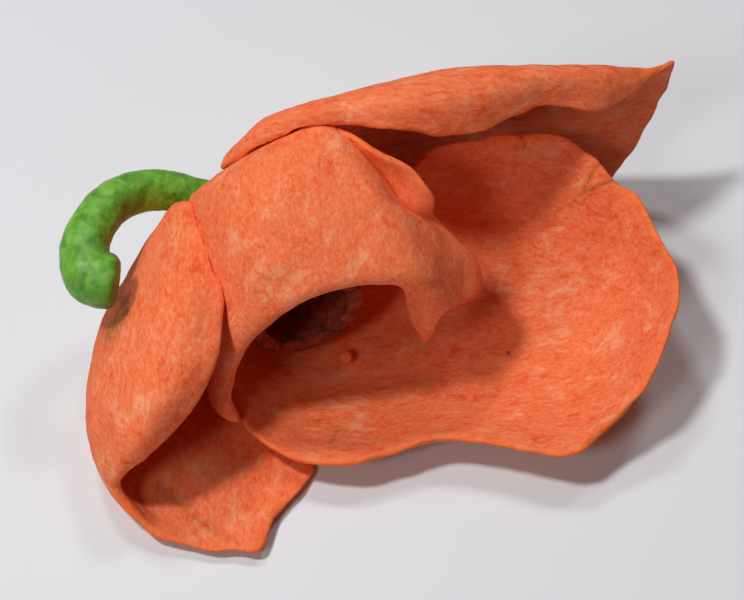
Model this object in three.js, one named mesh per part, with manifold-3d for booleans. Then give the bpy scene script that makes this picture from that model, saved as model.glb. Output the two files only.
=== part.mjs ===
// A hand-built ceramic tulip lying on its side: four clay petals around a small throat cup,
// with a short hooked stem.
// Millimetres, +Z up. +X runs from the stem to the petal tips, and -Y is the open, front side.
import * as THREE from "three";
import { mergeVertices } from "three/addons/utils/BufferGeometryUtils.js";
import Module from "manifold-3d";

const wasm = await Module();
wasm.setup();

// Driving dimensions
const petalThick = 1.9;      // clay at the middle of a petal
const rimThick = 1.1;        // clay where it thins towards a rim
const rimBand = 0.15;        // share of a petal's width over which it thins
const rimRound = 0.42;       // how far the rounded rim stands out, as a share of its thickness
const petalSteps = 20;       // mesh steps along a petal and across it
const foldSteps = 26;        // the same for the top petal, which has the tightest folds
const clearance = 0.3;       // gap between neighbouring pieces
const cupWall = 2.4;         // wall of the throat cup
const cupBead = 1.7;         // radius of the rolled lip of the cup
const beadDepth = 0.8;       // how far the lip stands forward, as a share of its radius
const beadSteps = 6;         // mesh steps round the lip
const cupSides = 24;
const cupSteps = 10;         // mesh steps from the foot of the cup to its mouth
const cupFloor = 3;          // how many of those steps the inside stays short of the foot
const footCrown = 0.6;       // how far the foot and the floor of the cup bulge
const stemSides = 16;
const stemSteps = 28;
const endCrown = 0.3;        // how far each end of the stem bulges
const rootEnd = { section: 0.6, fill: 12 };   // share of its section that the root end starts with
const cutEnd = { section: 0.72, fill: 8 };    // the same for the cut end, and how fast each fills out
const sameSpot = 1e-4;       // points nearer than this are one
const nubSize = new THREE.Vector3(1.1, 1.0, 0.8);   // half-sizes of the loose crumb of clay
const nubPlace = new THREE.Vector3(-4.5, -2.4, 2.9);

const orangeClay = { color: 0xde7748, roughness: 0.86, metalness: 0 };
const cupClay = { color: 0x7e2f1e, roughness: 0.92, metalness: 0 };
const greenClay = { color: 0x5c8f34, roughness: 0.6, metalness: 0 };

// Each petal is a list of ribs from its base to its tip. A rib crosses the petal from one margin
// to the other, through the middle of the clay, as [x, y, z] points.

// Left outer petal: from its upper margin, over the side, and under to the margin on the table.
const outerLeft = [
  [[-28.5, 8, 29.2], [-30.4, 8.4, 29], [-31.9, 9.8, 26.6],
    [-32.2, 11.8, 21.2], [-31.2, 14, 17.6], [-29.4, 15, 16]],
  [[-26.4, 1.8, 29.5], [-30.2, 3, 29], [-36, 5.5, 22.5], [-38.5, 8.5, 14], [-37, 9.5, 8], [-31, 9.5, 5]],
  [[-24, -7.8, 28.5], [-30.5, -6.5, 29], [-39.5, -3, 20],
    [-43.6, -1, 10.5], [-40, -3.5, 2.5], [-26, -4, 1.6]],
  [[-24, -19.3, 25], [-32, -18.5, 26.5], [-43.8, -11, 16],
    [-45, -10.5, 5.5], [-39.5, -15.5, 1], [-19, -14.5, 0.9]],
  [[-26, -23.6, 22], [-34, -27, 22.5], [-43.8, -22.5, 13],
    [-43.5, -22.5, 4], [-36, -26, 0.8], [-9.5, -23.5, 0.9]],
  [[-32, -29.2, 17], [-37.3, -31.5, 16.5], [-42.3, -28.5, 10],
    [-41, -30, 3.5], [-32.5, -33.5, 0.7], [-15, -32, 1.8]],
  [[-40.2, -31.8, 10], [-41, -31.5, 8], [-39.5, -33.5, 5],
    [-33, -38, 2.2], [-25, -40, 1.8], [-18, -40.6, 2.6]],
];

// Top inner petal: a hood over the throat. Its ribs run from the margin on the left, over the
// crown, to the far margin, which turns up as a flap and further on hangs as a lobe. The last
// rib is the arch, with the hooked tip at its far end.
const innerTop = [
  [[-29.9, 11.2, 26], [-28.7, 10.6, 28.5], [-27, 10.5, 30.5], [-24.8, 11.1, 32], [-22.2, 12.4, 33],
    [-19.5, 14.2, 33.5], [-16.6, 15.9, 34], [-13.9, 18, 34], [-11.3, 20.1, 33.5]],
  [[-29.8, 7.9, 23], [-28.6, 8.4, 28.5], [-25.5, 7.5, 32.8], [-21.6, 8.4, 36], [-17.4, 10.7, 38.2],
    [-13.3, 13.3, 39.2], [-9.6, 15.1, 39.7], [-6.7, 16.1, 39.8], [-4.6, 13.7, 40]],
  [[-29.3, 3.1, 21], [-27.9, 4.2, 28.5], [-23.7, 4.8, 34], [-19, 6.1, 38], [-13.9, 8.8, 40],
    [-8.9, 11.6, 40.5], [-5.1, 12.1, 40], [-1.9, 12.1, 37.5], [1, 9.2, 40]],
  [[-28.6, -1.7, 17], [-26.9, -0.9, 26.5], [-22.4, -0.5, 34], [-17.2, 1.1, 38.5], [-11.6, 3.9, 40.5],
    [-6.3, 7.2, 40.5], [-2.5, 7.9, 39.3], [1.3, 9.4, 35.2], [5.4, 7.4, 38.5]],
  [[-27.8, -5.6, 14], [-25.8, -5.9, 24.5], [-21.5, -5.1, 32.5], [-16.2, -3.3, 37.5], [-10.3, 0, 39.5],
    [-4.7, 3.3, 39.8], [-0.3, 4, 38.6], [3.8, 6, 32.8], [9.5, 4.6, 35]],
  [[-27.1, -9, 11.5], [-25.2, -9.2, 21.5], [-20.9, -8.7, 30.5], [-15.5, -6.7, 35.5], [-9.3, -3.7, 38],
    [-3.4, -0.4, 39], [1.7, 0.7, 37.6], [5.4, 3.4, 32], [9.5, 5, 30.5]],
  [[-26.4, -12.4, 9.5], [-24.8, -12.1, 18.5], [-21, -11.5, 27.5], [-15.5, -9.6, 33], [-9.3, -7.1, 36],
    [-2.8, -4.5, 37], [3.4, -2.1, 36.5], [8.6, 2, 30.5], [13.3, 4.3, 25]],
  [[-25.7, -15.4, 8], [-24.5, -14.2, 15.5], [-21, -13.7, 24.5], [-15.5, -11.8, 30], [-9.3, -9.9, 33.5],
    [-2.8, -7.9, 35], [4.7, -6, 35], [10.9, -1.3, 28], [17.5, 2.2, 20.5]],
  [[-24.7, -17.6, 7.5], [-24.2, -15.9, 14], [-20.9, -14.9, 22.5], [-15.4, -13.1, 28], [-9.3, -12, 32],
    [-2.5, -10, 33], [6.1, -8.2, 33], [11.5, -4.2, 26], [16.6, -2.9, 19]],
  [[-23.1, -19, 7.5], [-23.9, -16.3, 13], [-20.9, -14.7, 21], [-15.5, -13.1, 27], [-9.3, -11.8, 31.2],
    [-1.9, -10.1, 32.3], [6.5, -9.3, 31.2], [9.7, -7.8, 26], [10.9, -7.8, 22]],
  [[-21.7, -19.2, 7.5], [-23.1, -16.6, 12.5], [-20.6, -14.3, 20], [-15.4, -12.5, 26], [-9.2, -11.2, 30.3],
    [-1.6, -9.5, 31.4], [5, -8.3, 29], [6.3, -7.5, 21], [8.5, -7.3, 12.5]],
];

// Back outer petal: from its curled near margin, over the ridge, and down the back to the table.
const outerBack = [
  [[-24.6, 14.2, 31.6], [-23.6, 16.4, 31.4], [-22.8, 19, 29.6],
    [-22.7, 21.2, 26.2], [-23.4, 22, 22.6], [-24.8, 21.6, 19]],
  [[-17.3, 12.8, 39.2], [-17, 14.8, 39.8], [-17.2, 17.6, 38],
    [-18, 23, 31.4], [-19.5, 26.5, 21], [-21, 26.5, 11]],
  [[-6.5, 15.2, 41.2], [-6.6, 17.4, 42.2], [-7.3, 21.2, 39.6],
    [-8, 27.5, 31], [-9, 32, 17], [-10.5, 30.5, 1.5]],
  [[4.5, 13.2, 41.8], [4.3, 16.6, 44.4], [4, 21.6, 43], [4, 29.6, 33.5], [3.5, 35.6, 17], [2, 33.5, 0.5]],
  [[15.8, 15.6, 38.2], [15.5, 18.8, 43.4], [15, 24.4, 43],
    [15, 32, 33.5], [15, 37.6, 17], [14.5, 34.5, 0.5]],
  [[28.3, 22.8, 38.2], [28.5, 25.2, 41.2], [28.5, 28.4, 40], [29, 34, 31], [29, 38.5, 16], [27, 36, 0.5]],
  [[37.8, 24.9, 34.4], [39.5, 28.5, 37], [41, 31.6, 36.4],
    [42.6, 35.3, 29], [41, 38.3, 14], [36, 37, 0.6]],
  [[51, 37, 33.8], [50.8, 37.2, 32.4], [50.4, 37.5, 29.5],
    [49.4, 38, 23.5], [46.6, 38, 12], [41.4, 37.5, 1.2]],
];

// Open inner petal: a wide dish lying on the table, from its front margin to its back margin.
const innerOpen = [
  [[-30, 10, 19.4], [-29.4, 12, 18], [-28.6, 14.2, 17.4],
    [-27.6, 16.6, 17.8], [-26.4, 18.4, 19.2], [-25.6, 19.2, 21]],
  [[-26, -2, 9.5], [-23.2, 0, 6], [-19, 5.2, 3.6], [-14, 11.5, 4.2], [-9.5, 15.5, 9.5], [-8, 17, 16]],
  [[-23.4, -12.8, 6.5], [-18.3, -8.9, 2.8], [-11.9, 0, 0.9],
    [-3.8, 10.5, 2], [2.3, 18.5, 8.5], [4.6, 21, 18]],
  [[-17.6, -22.6, 6.5], [-10.2, -16.4, 2.4], [-3.4, -6.7, 0.6],
    [4.8, 8, 1.3], [9.6, 19, 9.5], [8.8, 24.6, 23.5]],
  [[-4.7, -27.2, 7], [0.5, -19.8, 2.9], [8, -7.7, 0.6],
    [17, 9, 1.6], [21.8, 20, 9.5], [21.9, 28.2, 24.5]],
  [[12.5, -22.3, 7.5], [16, -16, 3.8], [21.5, -6.2, 1.4],
    [28.5, 7.4, 3], [32, 18.6, 11], [32.6, 28, 24.8]],
  [[30, -27, 9], [32.5, -19, 6], [36.5, -7.5, 4.3],
    [40.2, 4.6, 6.6], [41.6, 12.8, 12.6], [40.6, 20.6, 21.4]],
  [[36, -23.2, 10], [41.2, -19, 12.5], [45.6, -13.4, 16],
    [49.8, -1.4, 19.6], [47.4, 8.2, 20.6], [44, 17, 21.6]],
];

// Throat cup: rings from the closed foot at the stem to the open mouth.
const cupRings = [
  { at: [-23, 11.4, 21.8], radius: 2.4 },
  { at: [-21.6, 9.2, 20.4], radius: 5.6 },
  { at: [-19, 5, 18.4], radius: 7.8 },
  { at: [-15, 0.6, 16.4], radius: 8.6 },
  { at: [-11, -2.6, 15.8], radius: 8.7 },
];
const cupFacing = new THREE.Vector3(0.36, -0.93, -0.06).normalize();

// Stem: the middle of the clay rod, from the flower round the hook to its cut end.
const stemPath = [
  [-25.8, 14.4, 23.4], [-29.6, 14.1, 24.8], [-33.6, 13.6, 27], [-38.5, 11.3, 29], [-43, 6.6, 30],
  [-45.6, 0.6, 29.4], [-45.4, -4, 28.2], [-43.8, -6, 27.4], [-40.4, -6.2, 27],
];
const stemRadii = [3.3, 3.3, 3.4, 3.5, 3.6, 3.8, 4.2, 4.6, 4.6];

function curveThrough(points) {
  return new THREE.CatmullRomCurve3(points.map((p) => new THREE.Vector3(...p)), false, "catmullrom");
}

// A grid of points on the smooth surface through a petal's ribs, steps + 1 each way.
function ribGrid(ribs, steps) {
  const crossing = ribs.map((rib) => curveThrough(rib));
  const grid = Array.from({ length: steps + 1 }, () => []);
  for (let j = 0; j <= steps; j += 1) {
    const along = crossing.map((curve) => curve.getPoint(j / steps).toArray());
    const lengthwise = curveThrough(along);
    for (let i = 0; i <= steps; i += 1) {
      grid[i].push(lengthwise.getPoint(i / steps));
    }
  }
  return grid;
}

function gridNormal(grid, i, j) {
  const last = grid.length - 1;
  const alongU = grid[Math.min(i + 1, last)][j].clone().sub(grid[Math.max(i - 1, 0)][j]);
  const alongV = grid[i][Math.min(j + 1, last)].clone().sub(grid[i][Math.max(j - 1, 0)]);
  return alongU.cross(alongV).normalize();
}

// Thickness falls smoothly from the middle of the petal to its two margins and its tip.
function clayThickness(i, j, steps) {
  const edge = Math.min(i === 0 ? 1 : (steps - i) / steps, j / steps, (steps - j) / steps);
  return THREE.MathUtils.lerp(rimThick, petalThick, THREE.MathUtils.smoothstep(edge, 0, rimBand));
}

// Grid places around the whole margin, in order.
function marginLoop(steps) {
  const loop = [];
  for (let k = 0; k < steps; k += 1) loop.push([k, 0]);
  for (let k = 0; k < steps; k += 1) loop.push([steps, k]);
  for (let k = steps; k > 0; k -= 1) loop.push([k, steps]);
  for (let k = steps; k > 0; k -= 1) loop.push([0, k]);
  return loop;
}

// A closed shell around the surface through the ribs. Grow adds the same clay all round.
// What would reach below the table is flat on it, as clay that dried on a board is.
function petalSolid(ribs, grow = 0, steps = petalSteps) {
  const grid = ribGrid(ribs, steps);
  const row = steps + 1;
  const points = [];
  const faces = [];
  for (const side of [1, -1]) {
    for (let i = 0; i <= steps; i += 1) {
      for (let j = 0; j <= steps; j += 1) {
        const reach = side * (clayThickness(i, j, steps) / 2 + grow);
        points.push(grid[i][j].clone().addScaledVector(gridNormal(grid, i, j), reach));
      }
    }
  }
  const upper = (i, j) => i * row + j;
  const lower = (i, j) => row * row + i * row + j;
  for (let i = 0; i < steps; i += 1) {
    for (let j = 0; j < steps; j += 1) {
      faces.push([upper(i, j), upper(i + 1, j), upper(i + 1, j + 1)]);
      faces.push([upper(i, j), upper(i + 1, j + 1), upper(i, j + 1)]);
      faces.push([lower(i, j), lower(i + 1, j + 1), lower(i + 1, j)]);
      faces.push([lower(i, j), lower(i, j + 1), lower(i + 1, j + 1)]);
    }
  }
  const loop = marginLoop(steps);
  const firstRim = points.length;
  loop.forEach(([i, j], k) => {
    const [nextI, nextJ] = loop[(k + 1) % loop.length];
    const [lastI, lastJ] = loop[(k + loop.length - 1) % loop.length];
    const tangent = grid[nextI][nextJ].clone().sub(grid[lastI][lastJ]).normalize();
    const inner = grid[THREE.MathUtils.clamp(i, 1, steps - 1)][THREE.MathUtils.clamp(j, 1, steps - 1)];
    const outward = grid[i][j].clone().sub(inner);
    outward.addScaledVector(tangent, -outward.dot(tangent)).normalize();
    points.push(grid[i][j].clone().addScaledVector(outward, clayThickness(i, j, steps) * rimRound + grow));
  });
  loop.forEach(([i, j], k) => {
    const next = (k + 1) % loop.length;
    const [nextI, nextJ] = loop[next];
    faces.push([upper(nextI, nextJ), upper(i, j), firstRim + k]);
    faces.push([upper(nextI, nextJ), firstRim + k, firstRim + next]);
    faces.push([firstRim + next, firstRim + k, lower(i, j)]);
    faces.push([firstRim + next, lower(i, j), lower(nextI, nextJ)]);
  });
  if (grow === 0) {
    for (const point of points) point.z = Math.max(point.z, 0);
  }
  return solidFrom(points, faces);
}

// Rings of points joined into one closed solid, with a point at each end.
function ringSolid(rings, firstPoint, lastPoint) {
  const sides = rings[0].length;
  const points = rings.flat();
  const faces = [];
  for (let i = 0; i + 1 < rings.length; i += 1) {
    for (let k = 0; k < sides; k += 1) {
      const a = i * sides + k;
      const b = i * sides + ((k + 1) % sides);
      faces.push([a, a + sides, b + sides], [a, b + sides, b]);
    }
  }
  const first = points.push(firstPoint) - 1;
  const last = points.push(lastPoint) - 1;
  for (let k = 0; k < sides; k += 1) {
    const next = (k + 1) % sides;
    faces.push([first, k, next]);
    faces.push([last, (rings.length - 1) * sides + next, (rings.length - 1) * sides + k]);
  }
  return solidFrom(points, faces);
}

function ringPoints(center, across, up, radius, sides) {
  return Array.from({ length: sides }, (_, k) => {
    const angle = (k / sides) * 2 * Math.PI;
    return center.clone()
      .addScaledVector(across, radius * Math.cos(angle))
      .addScaledVector(up, radius * Math.sin(angle));
  });
}

function solidOf(geometry) {
  const merged = mergeVertices(geometry, sameSpot);
  const mesh = new wasm.Mesh({
    numProp: 3,
    vertProperties: new Float32Array(merged.attributes.position.array),
    triVerts: new Uint32Array(merged.index.array),
  });
  mesh.merge();
  return new wasm.Manifold(mesh);
}

// A solid from points and triangles, turned so that its faces point out.
function solidFrom(points, faces) {
  const signedVolume = faces.reduce((sum, [a, b, c]) => {
    return sum + points[a].dot(points[b].clone().cross(points[c])) / 6;
  }, 0);
  const turned = signedVolume < 0 ? faces.map(([a, b, c]) => [a, c, b]) : faces;
  const geometry = new THREE.BufferGeometry().setFromPoints(points);
  geometry.setIndex(turned.flat());
  return solidOf(geometry);
}

// The stem is a rod of varying radius with rounded ends.
function stemSolid(grow = 0) {
  const path = curveThrough(stemPath);
  const radius = new THREE.CatmullRomCurve3(
    stemRadii.map((r, k) => new THREE.Vector3(k, r, 0)), false, "catmullrom");
  const across = new THREE.Vector3(0, 0, 1);
  const rings = [];
  for (let i = 0; i <= stemSteps; i += 1) {
    const t = i / stemSteps;
    const tangent = path.getTangent(t);
    across.addScaledVector(tangent, -across.dot(tangent)).normalize();
    const section = Math.min(1, cutEnd.section + cutEnd.fill * (1 - t), rootEnd.section + rootEnd.fill * t);
    const reach = radius.getPoint(t).y * Math.sqrt(section) + grow;
    const up = tangent.clone().cross(across);
    rings.push(ringPoints(path.getPoint(t), across, up, reach, stemSides));
  }
  const start = path.getPoint(0).addScaledVector(path.getTangent(0), -endCrown - grow);
  const end = path.getPoint(1).addScaledVector(path.getTangent(1), endCrown + grow);
  return ringSolid(rings, start, end);
}

// The cup is a bent bowl: an outer skin out to the lip, round the bead and back down inside.
function cupSolid(grow = 0) {
  const centers = new THREE.CatmullRomCurve3(
    cupRings.map((ring) => new THREE.Vector3(...ring.at)), false, "catmullrom");
  const sizes = new THREE.CatmullRomCurve3(
    cupRings.map((ring, k) => new THREE.Vector3(k, ring.radius, 0)), false, "catmullrom");
  const rings = [];
  const across = new THREE.Vector3();
  const up = new THREE.Vector3();
  const addRing = (t, inset, push) => {
    const facing = centers.getTangent(t).lerp(cupFacing, t).normalize();
    across.set(0, 0, 1).cross(facing).normalize();
    up.copy(facing).cross(across);
    const center = centers.getPoint(t).addScaledVector(facing, push);
    rings.push(ringPoints(center, across, up, sizes.getPoint(t).y - inset, cupSides));
  };
  for (let i = 0; i <= cupSteps; i += 1) addRing(i / cupSteps, -cupWall / 2 - grow, 0);
  for (let k = 1; k < beadSteps; k += 1) {
    const angle = (k / beadSteps) * Math.PI;
    const bead = cupBead + grow;
    addRing(1, -bead * Math.cos(angle), bead * Math.sin(angle) * beadDepth);
  }
  for (let i = cupSteps; i >= cupFloor; i -= 1) addRing(i / cupSteps, cupWall / 2 + grow, 0);
  const foot = centers.getPoint(0).addScaledVector(centers.getTangent(0), -footCrown - grow);
  const floor = centers.getPoint((cupFloor - footCrown) / cupSteps);
  return ringSolid(rings, foot, floor);
}

function nubSolid() {
  const ball = new THREE.SphereGeometry(1, 12, 8);
  ball.scale(nubSize.x, nubSize.y, nubSize.z).translate(...nubPlace.toArray());
  ball.deleteAttribute("normal").deleteAttribute("uv");
  return solidOf(ball);
}

// Keeps the largest body of a solid that a cut has split.
function largestBody(solid) {
  return solid.decompose().reduce((best, body) => (body.volume() > best.volume() ? body : best));
}

function toMesh(name, solid, look) {
  const { vertProperties, triVerts } = solid.getMesh();
  const geometry = new THREE.BufferGeometry();
  geometry.setAttribute("position", new THREE.BufferAttribute(vertProperties, 3));
  geometry.setIndex(new THREE.BufferAttribute(triVerts, 1));
  geometry.computeVertexNormals();
  const mesh = new THREE.Mesh(geometry, new THREE.MeshStandardMaterial(look));
  mesh.name = name;
  return mesh;
}

// A piece less all that stands closer to it than the clearance.
function cutClear(solid, ...neighbours) {
  return largestBody(neighbours.reduce((rest, neighbour) => rest.subtract(neighbour), solid));
}

const stem = stemSolid();
const stemRoom = stemSolid(clearance);
const cup = cutClear(cupSolid(), stemRoom);
const cupRoom = cupSolid(clearance);
const openRoom = petalSolid(innerOpen, clearance);
const topRoom = petalSolid(innerTop, clearance, foldSteps);
const backRoom = petalSolid(outerBack, clearance);
const open = cutClear(petalSolid(innerOpen), stemRoom, cupRoom);
const top = cutClear(petalSolid(innerTop, 0, foldSteps), stemRoom, cupRoom, openRoom);
const back = cutClear(petalSolid(outerBack), stemRoom, openRoom, topRoom);
const left = cutClear(petalSolid(outerLeft), stemRoom, openRoom, topRoom, backRoom);
const nub = nubSolid();

const flower = new THREE.Group();
flower.add(toMesh("outer_petal_left", left, orangeClay));
flower.add(toMesh("inner_petal_top", top, orangeClay));
flower.add(toMesh("outer_petal_back", back, orangeClay));
flower.add(toMesh("inner_petal_open", open, orangeClay));
flower.add(toMesh("throat_cup", cup, cupClay));
flower.add(toMesh("clay_nub", nub, orangeClay));
flower.add(toMesh("stem", stem, greenClay));

// The origin is the middle of the underside of the whole flower's box.
const extent = new THREE.Box3().setFromObject(flower);
const middle = extent.getCenter(new THREE.Vector3());
flower.position.set(-middle.x, -middle.y, -extent.min.z);

export default flower;
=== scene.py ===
# A hand-built ceramic tulip lying on a pale table: four clay petals round a small cup, and a hooked stem
import bpy
import bmesh
import math
import numpy as np
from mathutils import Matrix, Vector


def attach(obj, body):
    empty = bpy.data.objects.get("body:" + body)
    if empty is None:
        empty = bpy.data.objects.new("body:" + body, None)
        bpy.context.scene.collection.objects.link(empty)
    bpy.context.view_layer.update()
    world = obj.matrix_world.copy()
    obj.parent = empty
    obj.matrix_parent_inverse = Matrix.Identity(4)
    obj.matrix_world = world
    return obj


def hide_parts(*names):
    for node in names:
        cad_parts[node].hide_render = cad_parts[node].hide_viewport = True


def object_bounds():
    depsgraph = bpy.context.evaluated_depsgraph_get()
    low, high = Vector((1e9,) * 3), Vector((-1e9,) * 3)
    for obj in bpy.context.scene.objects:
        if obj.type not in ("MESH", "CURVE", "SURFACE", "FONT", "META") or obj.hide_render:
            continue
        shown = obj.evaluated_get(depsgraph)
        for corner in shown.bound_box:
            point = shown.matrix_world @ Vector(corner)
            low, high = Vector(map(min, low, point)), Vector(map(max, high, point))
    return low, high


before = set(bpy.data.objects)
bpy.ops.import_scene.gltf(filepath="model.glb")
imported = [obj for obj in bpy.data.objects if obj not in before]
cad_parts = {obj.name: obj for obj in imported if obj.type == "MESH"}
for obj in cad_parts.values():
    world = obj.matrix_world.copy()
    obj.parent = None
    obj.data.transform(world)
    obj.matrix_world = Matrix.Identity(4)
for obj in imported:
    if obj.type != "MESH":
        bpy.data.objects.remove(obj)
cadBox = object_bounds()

mm = 0.001
boxLow, boxHigh = cadBox
boxMiddle = (boxLow + boxHigh) / 2


# noise on arrays of points, the same on every run

gradients = np.array([(x, y, z) for x in (-1, 0, 1) for y in (-1, 0, 1) for z in (-1, 0, 1)
                      if abs(x) + abs(y) + abs(z) == 2], float)


hashPrimes = (73856093, 19349663, 83492791)  # one for each axis
seedPrime = 2654435761
mixPrime = 1274126177
noiseShift = 100.0  # keeps every grid corner above zero
noiseSpread = 1.4  # brings the lumps to about -1 to 1


def cellHash(cell, seed):
    # which gradient a corner of the grid has
    mixed = seed * seedPrime
    for axis, prime in enumerate(hashPrimes):
        mixed = mixed ^ (cell[..., axis] * prime)
    mixed = (mixed ^ (mixed >> 13)) * mixPrime
    return (mixed ^ (mixed >> 16)) % len(gradients)


def smoothNoise(points, size, seed):
    # soft lumps of the given size
    specksAndPaintedShadow = points / size + noiseShift
    cell = np.floor(specksAndPaintedShadow).astype(np.int64)
    part = specksAndPaintedShadow - cell
    ease = part * part * part * (part * (part * 6 - 15) + 10)
    total = np.zeros(len(points))
    for corner in ((x, y, z) for x in (0, 1) for y in (0, 1) for z in (0, 1)):
        corner = np.array(corner)
        gradient = gradients[cellHash(cell + corner, seed)]
        weight = np.prod(np.where(corner == 1, ease, 1 - ease), axis=1)
        total += weight * np.einsum("ij,ij->i", gradient, part - corner)
    return total * noiseSpread


def softStep(low, high, value):
    t = np.clip((value - low) / (high - low), 0, 1)
    return t * t * (3 - 2 * t)


# from a plain CAD node to a clay piece

cageRules = {"weld": 0.02 * mm, "quadTurn": 50, "quadSkew": 60}


def nodeCage(nodeName):
    # the node's own mesh as quads, with how sharply each corner turns
    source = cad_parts[nodeName]
    cage = bmesh.new()
    cage.from_mesh(source.data)
    cage.transform(source.matrix_world)
    bmesh.ops.remove_doubles(cage, verts=cage.verts, dist=cageRules["weld"])
    bmesh.ops.dissolve_degenerate(cage, edges=cage.edges, dist=cageRules["weld"])
    bmesh.ops.join_triangles(cage, faces=cage.faces,
                             angle_face_threshold=math.radians(cageRules["quadTurn"]),
                             angle_shape_threshold=math.radians(cageRules["quadSkew"]))
    cage.normal_update()
    turn = cage.verts.layers.float.new("rim")
    for vert in cage.verts:
        total = sum((face.normal for face in vert.link_faces), Vector())
        vert[turn] = 1 - total.length / max(len(vert.link_faces), 1)
    return cage


def evaluated(obj):
    graph = bpy.context.evaluated_depsgraph_get()
    return bpy.data.meshes.new_from_object(obj.evaluated_get(graph))


def smoothCopy(nodeName, pieceName, levels):
    cage = nodeCage(nodeName)
    mesh = bpy.data.meshes.new(pieceName)
    cage.to_mesh(mesh)
    cage.free()
    piece = bpy.data.objects.new(pieceName, mesh)
    bpy.context.scene.collection.objects.link(piece)
    smoother = piece.modifiers.new("smooth", "SUBSURF")
    smoother.levels = smoother.render_levels = levels
    fine = evaluated(piece)
    piece.modifiers.clear()
    piece.data = fine
    fine.name = pieceName
    fine.shade_smooth()
    return piece


def pointArray(mesh):
    points = np.empty(len(mesh.vertices) * 3)
    mesh.vertices.foreach_get("co", points)
    return points.reshape(-1, 3)


def normalArray(mesh):
    normals = np.empty(len(mesh.vertices) * 3)
    mesh.vertices.foreach_get("normal", normals)
    return normals.reshape(-1, 3)


def floatLayer(mesh, name):
    values = np.empty(len(mesh.vertices))
    mesh.attributes[name].data.foreach_get("value", values)
    return values


def handShape(piece, clay):
    # bends, lumps and an uneven rim, each from its own seed, and nothing goes below the table
    mesh = piece.data
    points = pointArray(mesh)
    normals = normalArray(mesh)
    rim = softStep(clay["rimFrom"], clay["rimTo"], floatLayer(mesh, "rim"))
    bend = np.stack([smoothNoise(points, clay["bendSize"], clay["seed"] + k) for k in range(3)], 1)
    ripple = np.stack([smoothNoise(points, clay["rippleSize"], clay["seed"] + 5 + k) for k in range(3)], 1)
    lumps = smoothNoise(points, clay["lumpSize"], clay["seed"] + 9)
    grain = smoothNoise(points, clay["grainSize"], clay["seed"] + 10)
    moved = points + bend * clay["bend"] + ripple * (clay["ripple"] * rim[:, None])
    moved += normals * (clay["swell"] + lumps * clay["lump"] + grain * clay["grain"])[:, None]
    moved[:, 2] = np.maximum(moved[:, 2], boxLow.z)
    mesh.vertices.foreach_set("co", moved.ravel())
    mesh.update()


def groove(points, normals, line):
    # how deep a scored line or a drying crack is at each point
    depth = np.zeros(len(points))
    path = np.array(line["path"]) * mm
    for k, (start, end) in enumerate(zip(path[:-1], path[1:])):
        run = end - start
        along = np.clip((points - start) @ run / (run @ run), 0, 1)
        gap = points - start - along[:, None] * run
        gap -= normals * np.einsum("ij,ij->i", gap, normals)[:, None] * line["reach"]
        width = line["width"] * (1 - line["taper"] * (k + along) / (len(path) - 1))
        depth = np.maximum(depth, np.exp(-(np.linalg.norm(gap, axis=1) / width) ** 2))
    return depth


def scoreLines(piece, lines):
    mesh = piece.data
    points = pointArray(mesh)
    normals = normalArray(mesh)
    crackAndCreaseShade = np.zeros(len(points))
    for line in lines:
        cut = groove(points, normals, line)
        points -= normals * (cut * line["depth"])[:, None]
        crackAndCreaseShade = np.maximum(crackAndCreaseShade, cut * line["dark"])
    mesh.vertices.foreach_set("co", points.ravel())
    mesh.attributes.new("crack_and_crease_shade", "FLOAT", "POINT").data.foreach_set("value", crackAndCreaseShade)
    mesh.update()


def finishPiece(piece, nodeName, material):
    piece.data.materials.clear()
    piece.data.materials.append(material)
    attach(piece, "root")
    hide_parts(nodeName)


# material helpers

def newMaterial(name):
    material = bpy.data.materials.new(name)
    material.use_nodes = True
    tree = material.node_tree
    tree.nodes.clear()
    shader = tree.nodes.new("ShaderNodeBsdfPrincipled")
    output = tree.nodes.new("ShaderNodeOutputMaterial")
    tree.links.new(shader.outputs["BSDF"], output.inputs["Surface"])
    return material, tree, shader


def linear(hexColour):
    # a hex colour as linear light
    parts = [int(hexColour[k:k + 2], 16) / 255 for k in (1, 3, 5)]
    return [c / 12.92 if c <= 0.04045 else ((c + 0.055) / 1.055) ** 2.4 for c in parts] + [1]


def place(tree, scale=(1, 1, 1), turn=(0, 0, 0)):
    coords = tree.nodes.new("ShaderNodeTexCoord")
    mapping = tree.nodes.new("ShaderNodeMapping")
    mapping.inputs["Scale"].default_value = scale
    mapping.inputs["Rotation"].default_value = [math.radians(a) for a in turn]
    tree.links.new(coords.outputs["Object"], mapping.inputs["Vector"])
    return mapping.outputs["Vector"]


def noiseNode(tree, where, size, detail=4, rough=0.55, distortion=0.0):
    node = tree.nodes.new("ShaderNodeTexNoise")
    node.inputs["Scale"].default_value = 1 / size
    node.inputs["Detail"].default_value = detail
    node.inputs["Roughness"].default_value = rough
    node.inputs["Distortion"].default_value = distortion
    tree.links.new(where, node.inputs["Vector"])
    return node.outputs["Fac"]


def ramp(tree, value, stops):
    node = tree.nodes.new("ShaderNodeValToRGB")
    elements = node.color_ramp.elements
    while len(elements) > 1:
        elements.remove(elements[-1])
    elements[0].position, elements[0].color = stops[0][0], tone(stops[0][1])
    for position, colour in stops[1:]:
        elements.new(position).color = tone(colour)
    tree.links.new(value, node.inputs["Fac"])
    return node.outputs["Color"]


def tone(colour):
    return linear(colour) if isinstance(colour, str) else (colour, colour, colour, 1)


def mixColour(tree, amount, first, second, how="MIX"):
    node = tree.nodes.new("ShaderNodeMix")
    node.data_type = "RGBA"
    node.blend_type = how
    for socket, value in (("Factor", amount), ("A", first), ("B", second)):
        target = next(s for s in node.inputs if s.name == socket and s.enabled)
        if isinstance(value, bpy.types.NodeSocket):
            tree.links.new(value, target)
        elif isinstance(value, str):
            target.default_value = linear(value)
        else:
            target.default_value = value
    return next(s for s in node.outputs if s.enabled)


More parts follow.
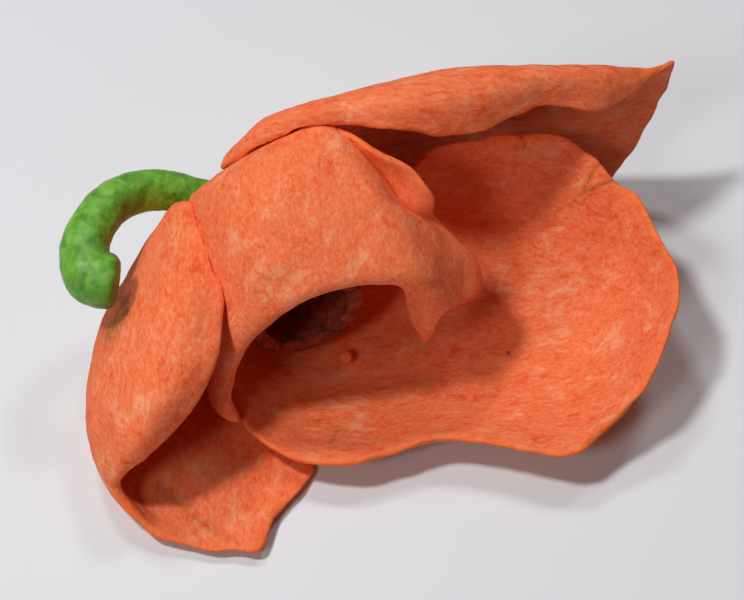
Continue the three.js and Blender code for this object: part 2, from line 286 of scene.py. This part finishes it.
def maths(tree, operation, *values, clamp=False):
    node = tree.nodes.new("ShaderNodeMath")
    node.operation = operation
    node.use_clamp = clamp
    for socket, value in zip(node.inputs, values):
        if isinstance(value, bpy.types.NodeSocket):
            tree.links.new(value, socket)
        else:
            socket.default_value = value
    return node.outputs[0]


def layer(tree, name):
    node = tree.nodes.new("ShaderNodeAttribute")
    node.attribute_name = name
    return node.outputs["Fac"]


def bump(tree, height, strength, depth, under=None):
    node = tree.nodes.new("ShaderNodeBump")
    node.inputs["Strength"].default_value = strength
    node.inputs["Distance"].default_value = depth
    tree.links.new(height, node.inputs["Height"])
    if under is not None:
        tree.links.new(under, node.inputs["Normal"])
    return node.outputs["Normal"]


# orange brushed clay

petalPaint = {
    "bare": "#F09A70", "wash": "#EE7545", "strong": "#E85628", "deep": "#C8401E", "rim": "#F26E2A",
    "crack": "#4A1A10", "roughness": 0.84, "specular": 0.28,
    "washSize": 7 * mm, "patchSize": 1.9 * mm, "dabSize": 0.55 * mm, "fineSize": 0.22 * mm,
    "washShare": 0.45, "patchShare": 0.55,
    "rubbed": [(0.48, 0.0), (0.7, 0.6)], "loaded": [(0.3, 0.8), (0.5, 0.0)],
    "pooled": [(0.56, 0.0), (0.74, 0.8)],
    "edge": [(0.04, 0.0), (0.24, 1.0)], "edgeWear": [(0.36, 0.95), (0.62, 0.35)],
    "bumpStrength": 0.6, "fineStrength": 0.4,
    "patchDepth": 0.2 * mm, "dabDepth": 0.1 * mm, "fineDepth": 0.03 * mm,
}
spotEdge = {"ragged": 1.6, "solidTo": 0.35}


def spotMask(tree, where, centre, size, ragged):
    # 1 at the middle of a spot, falling to 0 at an uneven edge
    node = tree.nodes.new("ShaderNodeVectorMath")
    node.operation = "DISTANCE"
    tree.links.new(where, node.inputs[0])
    node.inputs[1].default_value = [c * mm for c in centre]
    far = maths(tree, "DIVIDE", node.outputs["Value"], size * mm)
    uneven = maths(tree, "MULTIPLY", maths(tree, "SUBTRACT", ragged, 0.5), spotEdge["ragged"])
    return ramp(tree, maths(tree, "ADD", far, uneven), [(spotEdge["solidTo"], 1.0), (1.0, 0.0)])


def orangeClay(name, own):
    material, tree, shader = newMaterial(name)
    where = place(tree)
    strokes = place(tree, own["strokeSize"], own["strokeTurn"])
    washes = noiseNode(tree, where, petalPaint["washSize"], detail=4, rough=0.62, distortion=0.8)
    patches = noiseNode(tree, strokes, petalPaint["patchSize"], detail=7, rough=0.68, distortion=0.7)
    dabs = noiseNode(tree, strokes, petalPaint["dabSize"], detail=4, rough=0.7, distortion=0.6)
    fine = noiseNode(tree, where, petalPaint["fineSize"], detail=3, rough=0.7)
    covered = maths(tree, "ADD", maths(tree, "MULTIPLY", washes, petalPaint["washShare"]),
                    maths(tree, "MULTIPLY", patches, petalPaint["patchShare"]))
    body = ramp(tree, covered, [(0.38, petalPaint["bare"]), (0.47, petalPaint["wash"]),
                                (0.53, petalPaint["wash"]), (0.62, petalPaint["strong"])])
    rubbed = ramp(tree, dabs, petalPaint["rubbed"])
    body = mixColour(tree, rubbed, body, petalPaint["bare"])
    loaded = ramp(tree, dabs, petalPaint["loaded"])
    body = mixColour(tree, loaded, body, petalPaint["strong"])
    pooled = maths(tree, "MULTIPLY", ramp(tree, patches, petalPaint["pooled"]), own["pooling"])
    body = mixColour(tree, pooled, body, petalPaint["deep"])
    edge = ramp(tree, layer(tree, "rim"), petalPaint["edge"])
    edge = maths(tree, "MULTIPLY", edge, ramp(tree, patches, petalPaint["edgeWear"]))
    body = mixColour(tree, edge, body, petalPaint["rim"])
    # each spot blends in a colour: a small speck on most petals, and a painted contact shadow on the left petal
    for centre, size, colour, strength in own["specksAndPaintedShadow"]:
        spot = maths(tree, "MULTIPLY", spotMask(tree, where, centre, size, dabs), strength)
        body = mixColour(tree, spot, body, colour)
    # the crack colour goes into the cracks, and lightly along the crease as painted shade
    body = mixColour(tree, layer(tree, "crack_and_crease_shade"), body, petalPaint["crack"])
    tree.links.new(body, shader.inputs["Base Color"])
    shader.inputs["Roughness"].default_value = petalPaint["roughness"]
    shader.inputs["Specular IOR Level"].default_value = petalPaint["specular"]
    coarse = bump(tree, patches, petalPaint["bumpStrength"], petalPaint["patchDepth"])
    middle = bump(tree, dabs, petalPaint["bumpStrength"], petalPaint["dabDepth"], coarse)
    finest = bump(tree, fine, petalPaint["fineStrength"], petalPaint["fineDepth"], middle)
    tree.links.new(finest, shader.inputs["Normal"])
    return material


# the petals

crack = {"width": 0.32 * mm, "depth": 0.3 * mm, "dark": 0.5, "taper": 0.6, "reach": 0.8}
# the crease also gets a little of the crack colour along its fold: painted shade
crease = {"width": 1.3 * mm, "depth": 0.5 * mm, "dark": 0.1, "taper": 0.3, "reach": 0.5}
petals = {
    "outer_petal_left": {
        "seed": 11, "levels": 3, "strokeTurn": (20, 0, 50), "strokeSize": (1.0, 0.45, 1.0), "pooling": 0.5,
        # the two olive-brown spots sit where the stem's cut end rests on this petal: a painted contact shadow
        "specksAndPaintedShadow": [((-42.6, -7.6, 24.5), 4.6, "#6B5A2A", 0.75), ((-43.5, -9.5, 20.5), 3.4, "#8A6A34", 0.6)],
        "lines": [
            {**crease, "path": [(-34.3, -26.9, 1.6), (-31.4, -29.4, 1.5), (-28.3, -32.8, 1.7),
                                (-24.6, -36, 2.3), (-21.6, -38.2, 2.8)]},
        ],
    },
    "inner_petal_top": {
        "seed": 23, "levels": 2, "strokeTurn": (0, 25, -35), "strokeSize": (1.0, 0.5, 1.0), "pooling": 0.3,
        "specksAndPaintedShadow": [], "lines": [],
    },
    "outer_petal_back": {
        "seed": 37, "levels": 3, "strokeTurn": (0, 0, 12), "strokeSize": (0.35, 1.0, 1.0), "pooling": 0.4,
        "specksAndPaintedShadow": [((17.1, 18.3, 41.8), 0.5, "#5A2414", 0.9)], "lines": [],
    },
    "inner_petal_open": {
        "seed": 41, "levels": 3, "strokeTurn": (0, 0, 8), "strokeSize": (0.5, 1.0, 1.0), "pooling": 0.6,
        "specksAndPaintedShadow": [((22.3, -0.3, 2.3), 0.55, "#4F5A2C", 0.9)],
        "lines": [
            {**crack, "path": [(40.8, 21.9, 22), (38.4, 21.3, 21.1), (36.2, 21.6, 19.3),
                               (34.3, 21.7, 17.7), (33, 21.1, 15.8)]},
            {**crack, "path": [(38.2, 24.6, 22.9), (36.4, 23.3, 21.9), (35.1, 22, 18.8)]},
            {**crack, "path": [(24.4, 29.2, 25.4), (24.8, 28.6, 24.6), (25.2, 27.8, 23.2)]},
            {**crack, "path": [(-7.6, -20.8, 4.8), (-6.8, -18.3, 3.7), (-6.1, -17.2, 3.3)]},
        ],
    },
}
petalClay = {
    "swell": 0.1 * mm, "rimFrom": 0.02, "rimTo": 0.2,
    "bend": 0.35 * mm, "bendSize": 13 * mm,
    "ripple": 0.3 * mm, "rippleSize": 4.5 * mm,
    "lump": 0.16 * mm, "lumpSize": 4 * mm,
    "grain": 0.04 * mm, "grainSize": 1.1 * mm,
}
for nodeName, own in petals.items():
    petal = smoothCopy(nodeName, nodeName + "_clay", own["levels"])
    handShape(petal, {**petalClay, "seed": own["seed"]})
    scoreLines(petal, own["lines"])
    paint = orangeClay(nodeName + "_paint", own)
    finishPiece(petal, nodeName, paint)
print("petals shaped and painted")

nubClay = {**petalClay, "levels": 2, "seed": 53, "bend": 0, "ripple": 0,
           "lump": 0.2 * mm, "lumpSize": 1.2 * mm}
nub = smoothCopy("clay_nub", "clay_nub_crumb", nubClay["levels"])
handShape(nub, nubClay)
scoreLines(nub, [])
nubPaint = orangeClay("clay_nub_paint", {**petals["inner_petal_open"], "specksAndPaintedShadow": []})
finishPiece(nub, "clay_nub", nubPaint)


# throat cup

cupClay = {**petalClay, "levels": 2, "seed": 61, "bend": 0.3 * mm, "ripple": 0.3 * mm, "swell": 0.05 * mm}
# the cup is coloured much darker than the petals: its own red-orange, with painted shade for the deep inside of
# the throat
cupPaintAndShade = {
    "dark": "#3A120B", "red": "#8A3219", "orange": "#B4502C", "roughness": 0.85,
    "patchSize": 2.4 * mm, "fineSize": 0.4 * mm,
    "patchBump": (0.6, 0.2 * mm), "fineBump": (0.4, 0.05 * mm),  # strength and depth
}


def throatPaintAndShade():
    material, tree, shader = newMaterial("throat_cup_paint_and_shade")
    where = place(tree)
    patches = noiseNode(tree, where, cupPaintAndShade["patchSize"], detail=5, rough=0.65, distortion=1.0)
    fine = noiseNode(tree, where, cupPaintAndShade["fineSize"], detail=4, rough=0.7)
    # dark to red to orange at random: the dark is painted shade, the red and orange are the cup's own colour
    body = ramp(tree, patches, [(0.32, cupPaintAndShade["dark"]), (0.5, cupPaintAndShade["red"]), (0.7, cupPaintAndShade["orange"])])
    tree.links.new(body, shader.inputs["Base Color"])
    shader.inputs["Roughness"].default_value = cupPaintAndShade["roughness"]
    coarse = bump(tree, patches, *cupPaintAndShade["patchBump"])
    tree.links.new(bump(tree, fine, *cupPaintAndShade["fineBump"], coarse), shader.inputs["Normal"])
    return material


cup = smoothCopy("throat_cup", "throat_cup_clay", cupClay["levels"])
handShape(cup, cupClay)
finishPiece(cup, "throat_cup", throatPaintAndShade())
print("throat cup done")


# stem

stemClay = {**petalClay, "levels": 3, "seed": 71, "bend": 0.25 * mm, "bendSize": 9 * mm, "ripple": 0,
            "lump": 0.12 * mm, "lumpSize": 3 * mm, "grain": 0.05 * mm, "grainSize": 0.9 * mm, "swell": 0.1 * mm}
stemPaint = {
    "deep": "#4A7D1F", "middle": "#5E9E2C", "bright": "#86BE46", "brown": "#6A5A24", "speck": "#2E2A12",
    "cutFace": "#8F9E5A", "cutDark": "#5C6A2C", "cutStrength": 0.7, "roughness": 0.46, "specular": 0.4,
    "patchSize": 3.4 * mm, "fineSize": 0.32 * mm,
    "streakSize": 0.8 * mm, "streakScale": (1, 0.3, 1), "streakTurn": (0, 0, 20),
    "streaks": [(0.52, 0.0), (0.7, 0.45)], "browning": [(0.42, 0.95), (0.56, 0.15)],
    "specks": [(0.68, 0.0), (0.75, 0.75)],
    "patchBump": (0.5, 0.25 * mm), "streakBump": (0.55, 0.12 * mm),  # strength and depth
    "bendAt": (-36.5, 2.5, 27), "bendSize": 8.5, "cutAt": (-41, -6.4, 26.8), "cutSize": 4.4,
}


def greenGlaze():
    material, tree, shader = newMaterial("stem_paint")
    where = place(tree)
    along = place(tree, stemPaint["streakScale"], stemPaint["streakTurn"])
    patches = noiseNode(tree, where, stemPaint["patchSize"], detail=5, rough=0.6, distortion=0.8)
    streaks = noiseNode(tree, along, stemPaint["streakSize"], detail=5, rough=0.7, distortion=1.0)
    fine = noiseNode(tree, where, stemPaint["fineSize"], detail=3, rough=0.7)
    body = ramp(tree, patches, [(0.32, stemPaint["deep"]), (0.5, stemPaint["middle"]),
                                (0.72, stemPaint["bright"])])
    body = mixColour(tree, ramp(tree, streaks, stemPaint["streaks"]), body, stemPaint["bright"])
    bend = maths(tree, "MULTIPLY", spotMask(tree, where, stemPaint["bendAt"], stemPaint["bendSize"], patches),
                 ramp(tree, streaks, stemPaint["browning"]))
    body = mixColour(tree, bend, body, stemPaint["brown"])
    cut = spotMask(tree, where, stemPaint["cutAt"], stemPaint["cutSize"], streaks)
    cutColour = ramp(tree, streaks, [(0.4, stemPaint["cutDark"]), (0.58, stemPaint["cutFace"])])
    body = mixColour(tree, maths(tree, "MULTIPLY", cut, stemPaint["cutStrength"]), body, cutColour)
    body = mixColour(tree, ramp(tree, fine, stemPaint["specks"]), body, stemPaint["speck"])
    tree.links.new(body, shader.inputs["Base Color"])
    shader.inputs["Roughness"].default_value = stemPaint["roughness"]
    shader.inputs["Specular IOR Level"].default_value = stemPaint["specular"]
    coarse = bump(tree, patches, *stemPaint["patchBump"])
    tree.links.new(bump(tree, streaks, *stemPaint["streakBump"], coarse), shader.inputs["Normal"])
    return material


stem = smoothCopy("stem", "stem_rod", stemClay["levels"])
handShape(stem, stemClay)
finishPiece(stem, "stem", greenGlaze())
print("stem done")


# table, light and camera

table = {"colour": "#DFE4E8", "size": 6.0, "roughness": 0.6, "specular": 0.2}


def paleTable():
    mesh = bpy.data.meshes.new("table")
    half = table["size"] / 2
    corners = [(-half, -half, 0), (half, -half, 0), (half, half, 0), (-half, half, 0)]
    mesh.from_pydata([Vector(c) + Vector((0, 0, boxLow.z)) for c in corners], [], [(0, 1, 2, 3)])
    floor = bpy.data.objects.new("table", mesh)
    bpy.context.scene.collection.objects.link(floor)
    material, tree, shader = newMaterial("table_white")
    shader.inputs["Base Color"].default_value = linear(table["colour"])
    shader.inputs["Roughness"].default_value = table["roughness"]
    shader.inputs["Specular IOR Level"].default_value = table["specular"]
    mesh.materials.append(material)


lamps = {
    "key_left": {"from": (-0.3, -0.08, 0.66), "power": 2.9, "size": 0.1, "colour": "#FFFFFF"},
    "front_left": {"from": (-0.3, -0.46, 0.46), "power": 1.0, "size": 0.16, "colour": "#FFFFFF"},
    "back_left": {"from": (-0.16, 0.3, 0.64), "power": 1.0, "size": 0.12, "colour": "#FBFDFF"},
    "back_right": {"from": (0.2, 0.3, 0.65), "power": 0.75, "size": 0.14, "colour": "#FBFDFF"},
}
skyLight = {"colour": "#FFBFA8", "strength": 0.08}


def addLamps():
    aim = boxMiddle.copy()
    for name, lamp in lamps.items():
        light = bpy.data.lights.new(name, "AREA")
        light.shape = "DISK"
        light.size = lamp["size"]
        light.energy = lamp["power"]
        light.color = linear(lamp["colour"])[:3]
        holder = bpy.data.objects.new(name, light)
        holder.location = aim + Vector(lamp["from"])
        holder.rotation_euler = (aim - holder.location).to_track_quat("-Z", "Y").to_euler()
        bpy.context.scene.collection.objects.link(holder)
    world = bpy.data.worlds.new("soft_room")
    world.use_nodes = True
    sky = world.node_tree.nodes["Background"]
    sky.inputs["Color"].default_value = linear(skyLight["colour"])
    sky.inputs["Strength"].default_value = skyLight["strength"]
    bpy.context.scene.world = world


lens = {"elevation": 50, "distance": 330 * mm, "focal": 96.8, "sensor": 36,
        "aimAcross": -0.9 * mm, "aimBack": 0.8 * mm, "aimUp": 15 * mm}


def addCamera():
    data = bpy.data.cameras.new("camera")
    data.lens = lens["focal"]
    data.sensor_width = lens["sensor"]
    camera = bpy.data.objects.new("camera", data)
    aim = Vector((boxMiddle.x + lens["aimAcross"], boxMiddle.y + lens["aimBack"], boxLow.z + lens["aimUp"]))
    tilt = math.radians(lens["elevation"])
    camera.location = aim + Vector((0, -math.cos(tilt), math.sin(tilt))) * lens["distance"]
    camera.rotation_euler = (math.radians(90 - lens["elevation"]), 0, 0)
    bpy.context.scene.collection.objects.link(camera)
    bpy.context.scene.camera = camera


paleTable()
addLamps()
addCamera()
bpy.context.scene.view_settings.view_transform = "Standard"
print("table, light and camera set")
